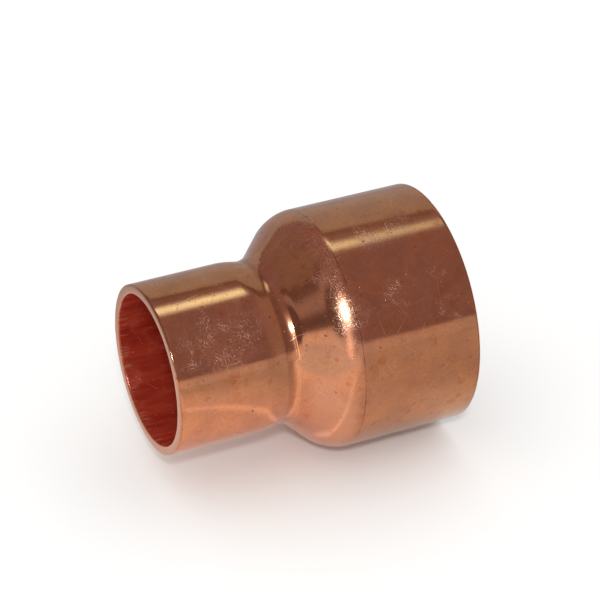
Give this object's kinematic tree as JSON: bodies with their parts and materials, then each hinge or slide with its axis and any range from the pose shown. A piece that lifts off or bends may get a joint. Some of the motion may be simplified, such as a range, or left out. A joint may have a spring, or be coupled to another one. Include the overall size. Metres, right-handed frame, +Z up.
{
  "type": "concentric pipe reducer",
  "caption": "Concentric copper reducing coupler with a socket at each end that joins two sizes of tube with solder.",
  "frame": {"origin": "centre of the large socket's mouth, on the fitting's axis, in the plane of its rim", "axes": "+X along the axis, out of the large socket, so the small socket opens towards -X. +Z up. The fitting lies on its side, on the large socket's wall."},
  "size_m": [0.03, 0.024, 0.024],
  "materials": {
    "copper": null
  },
  "bodies": {
    "root": {"reducer_body": "copper"}
  },
  "joints": []
}
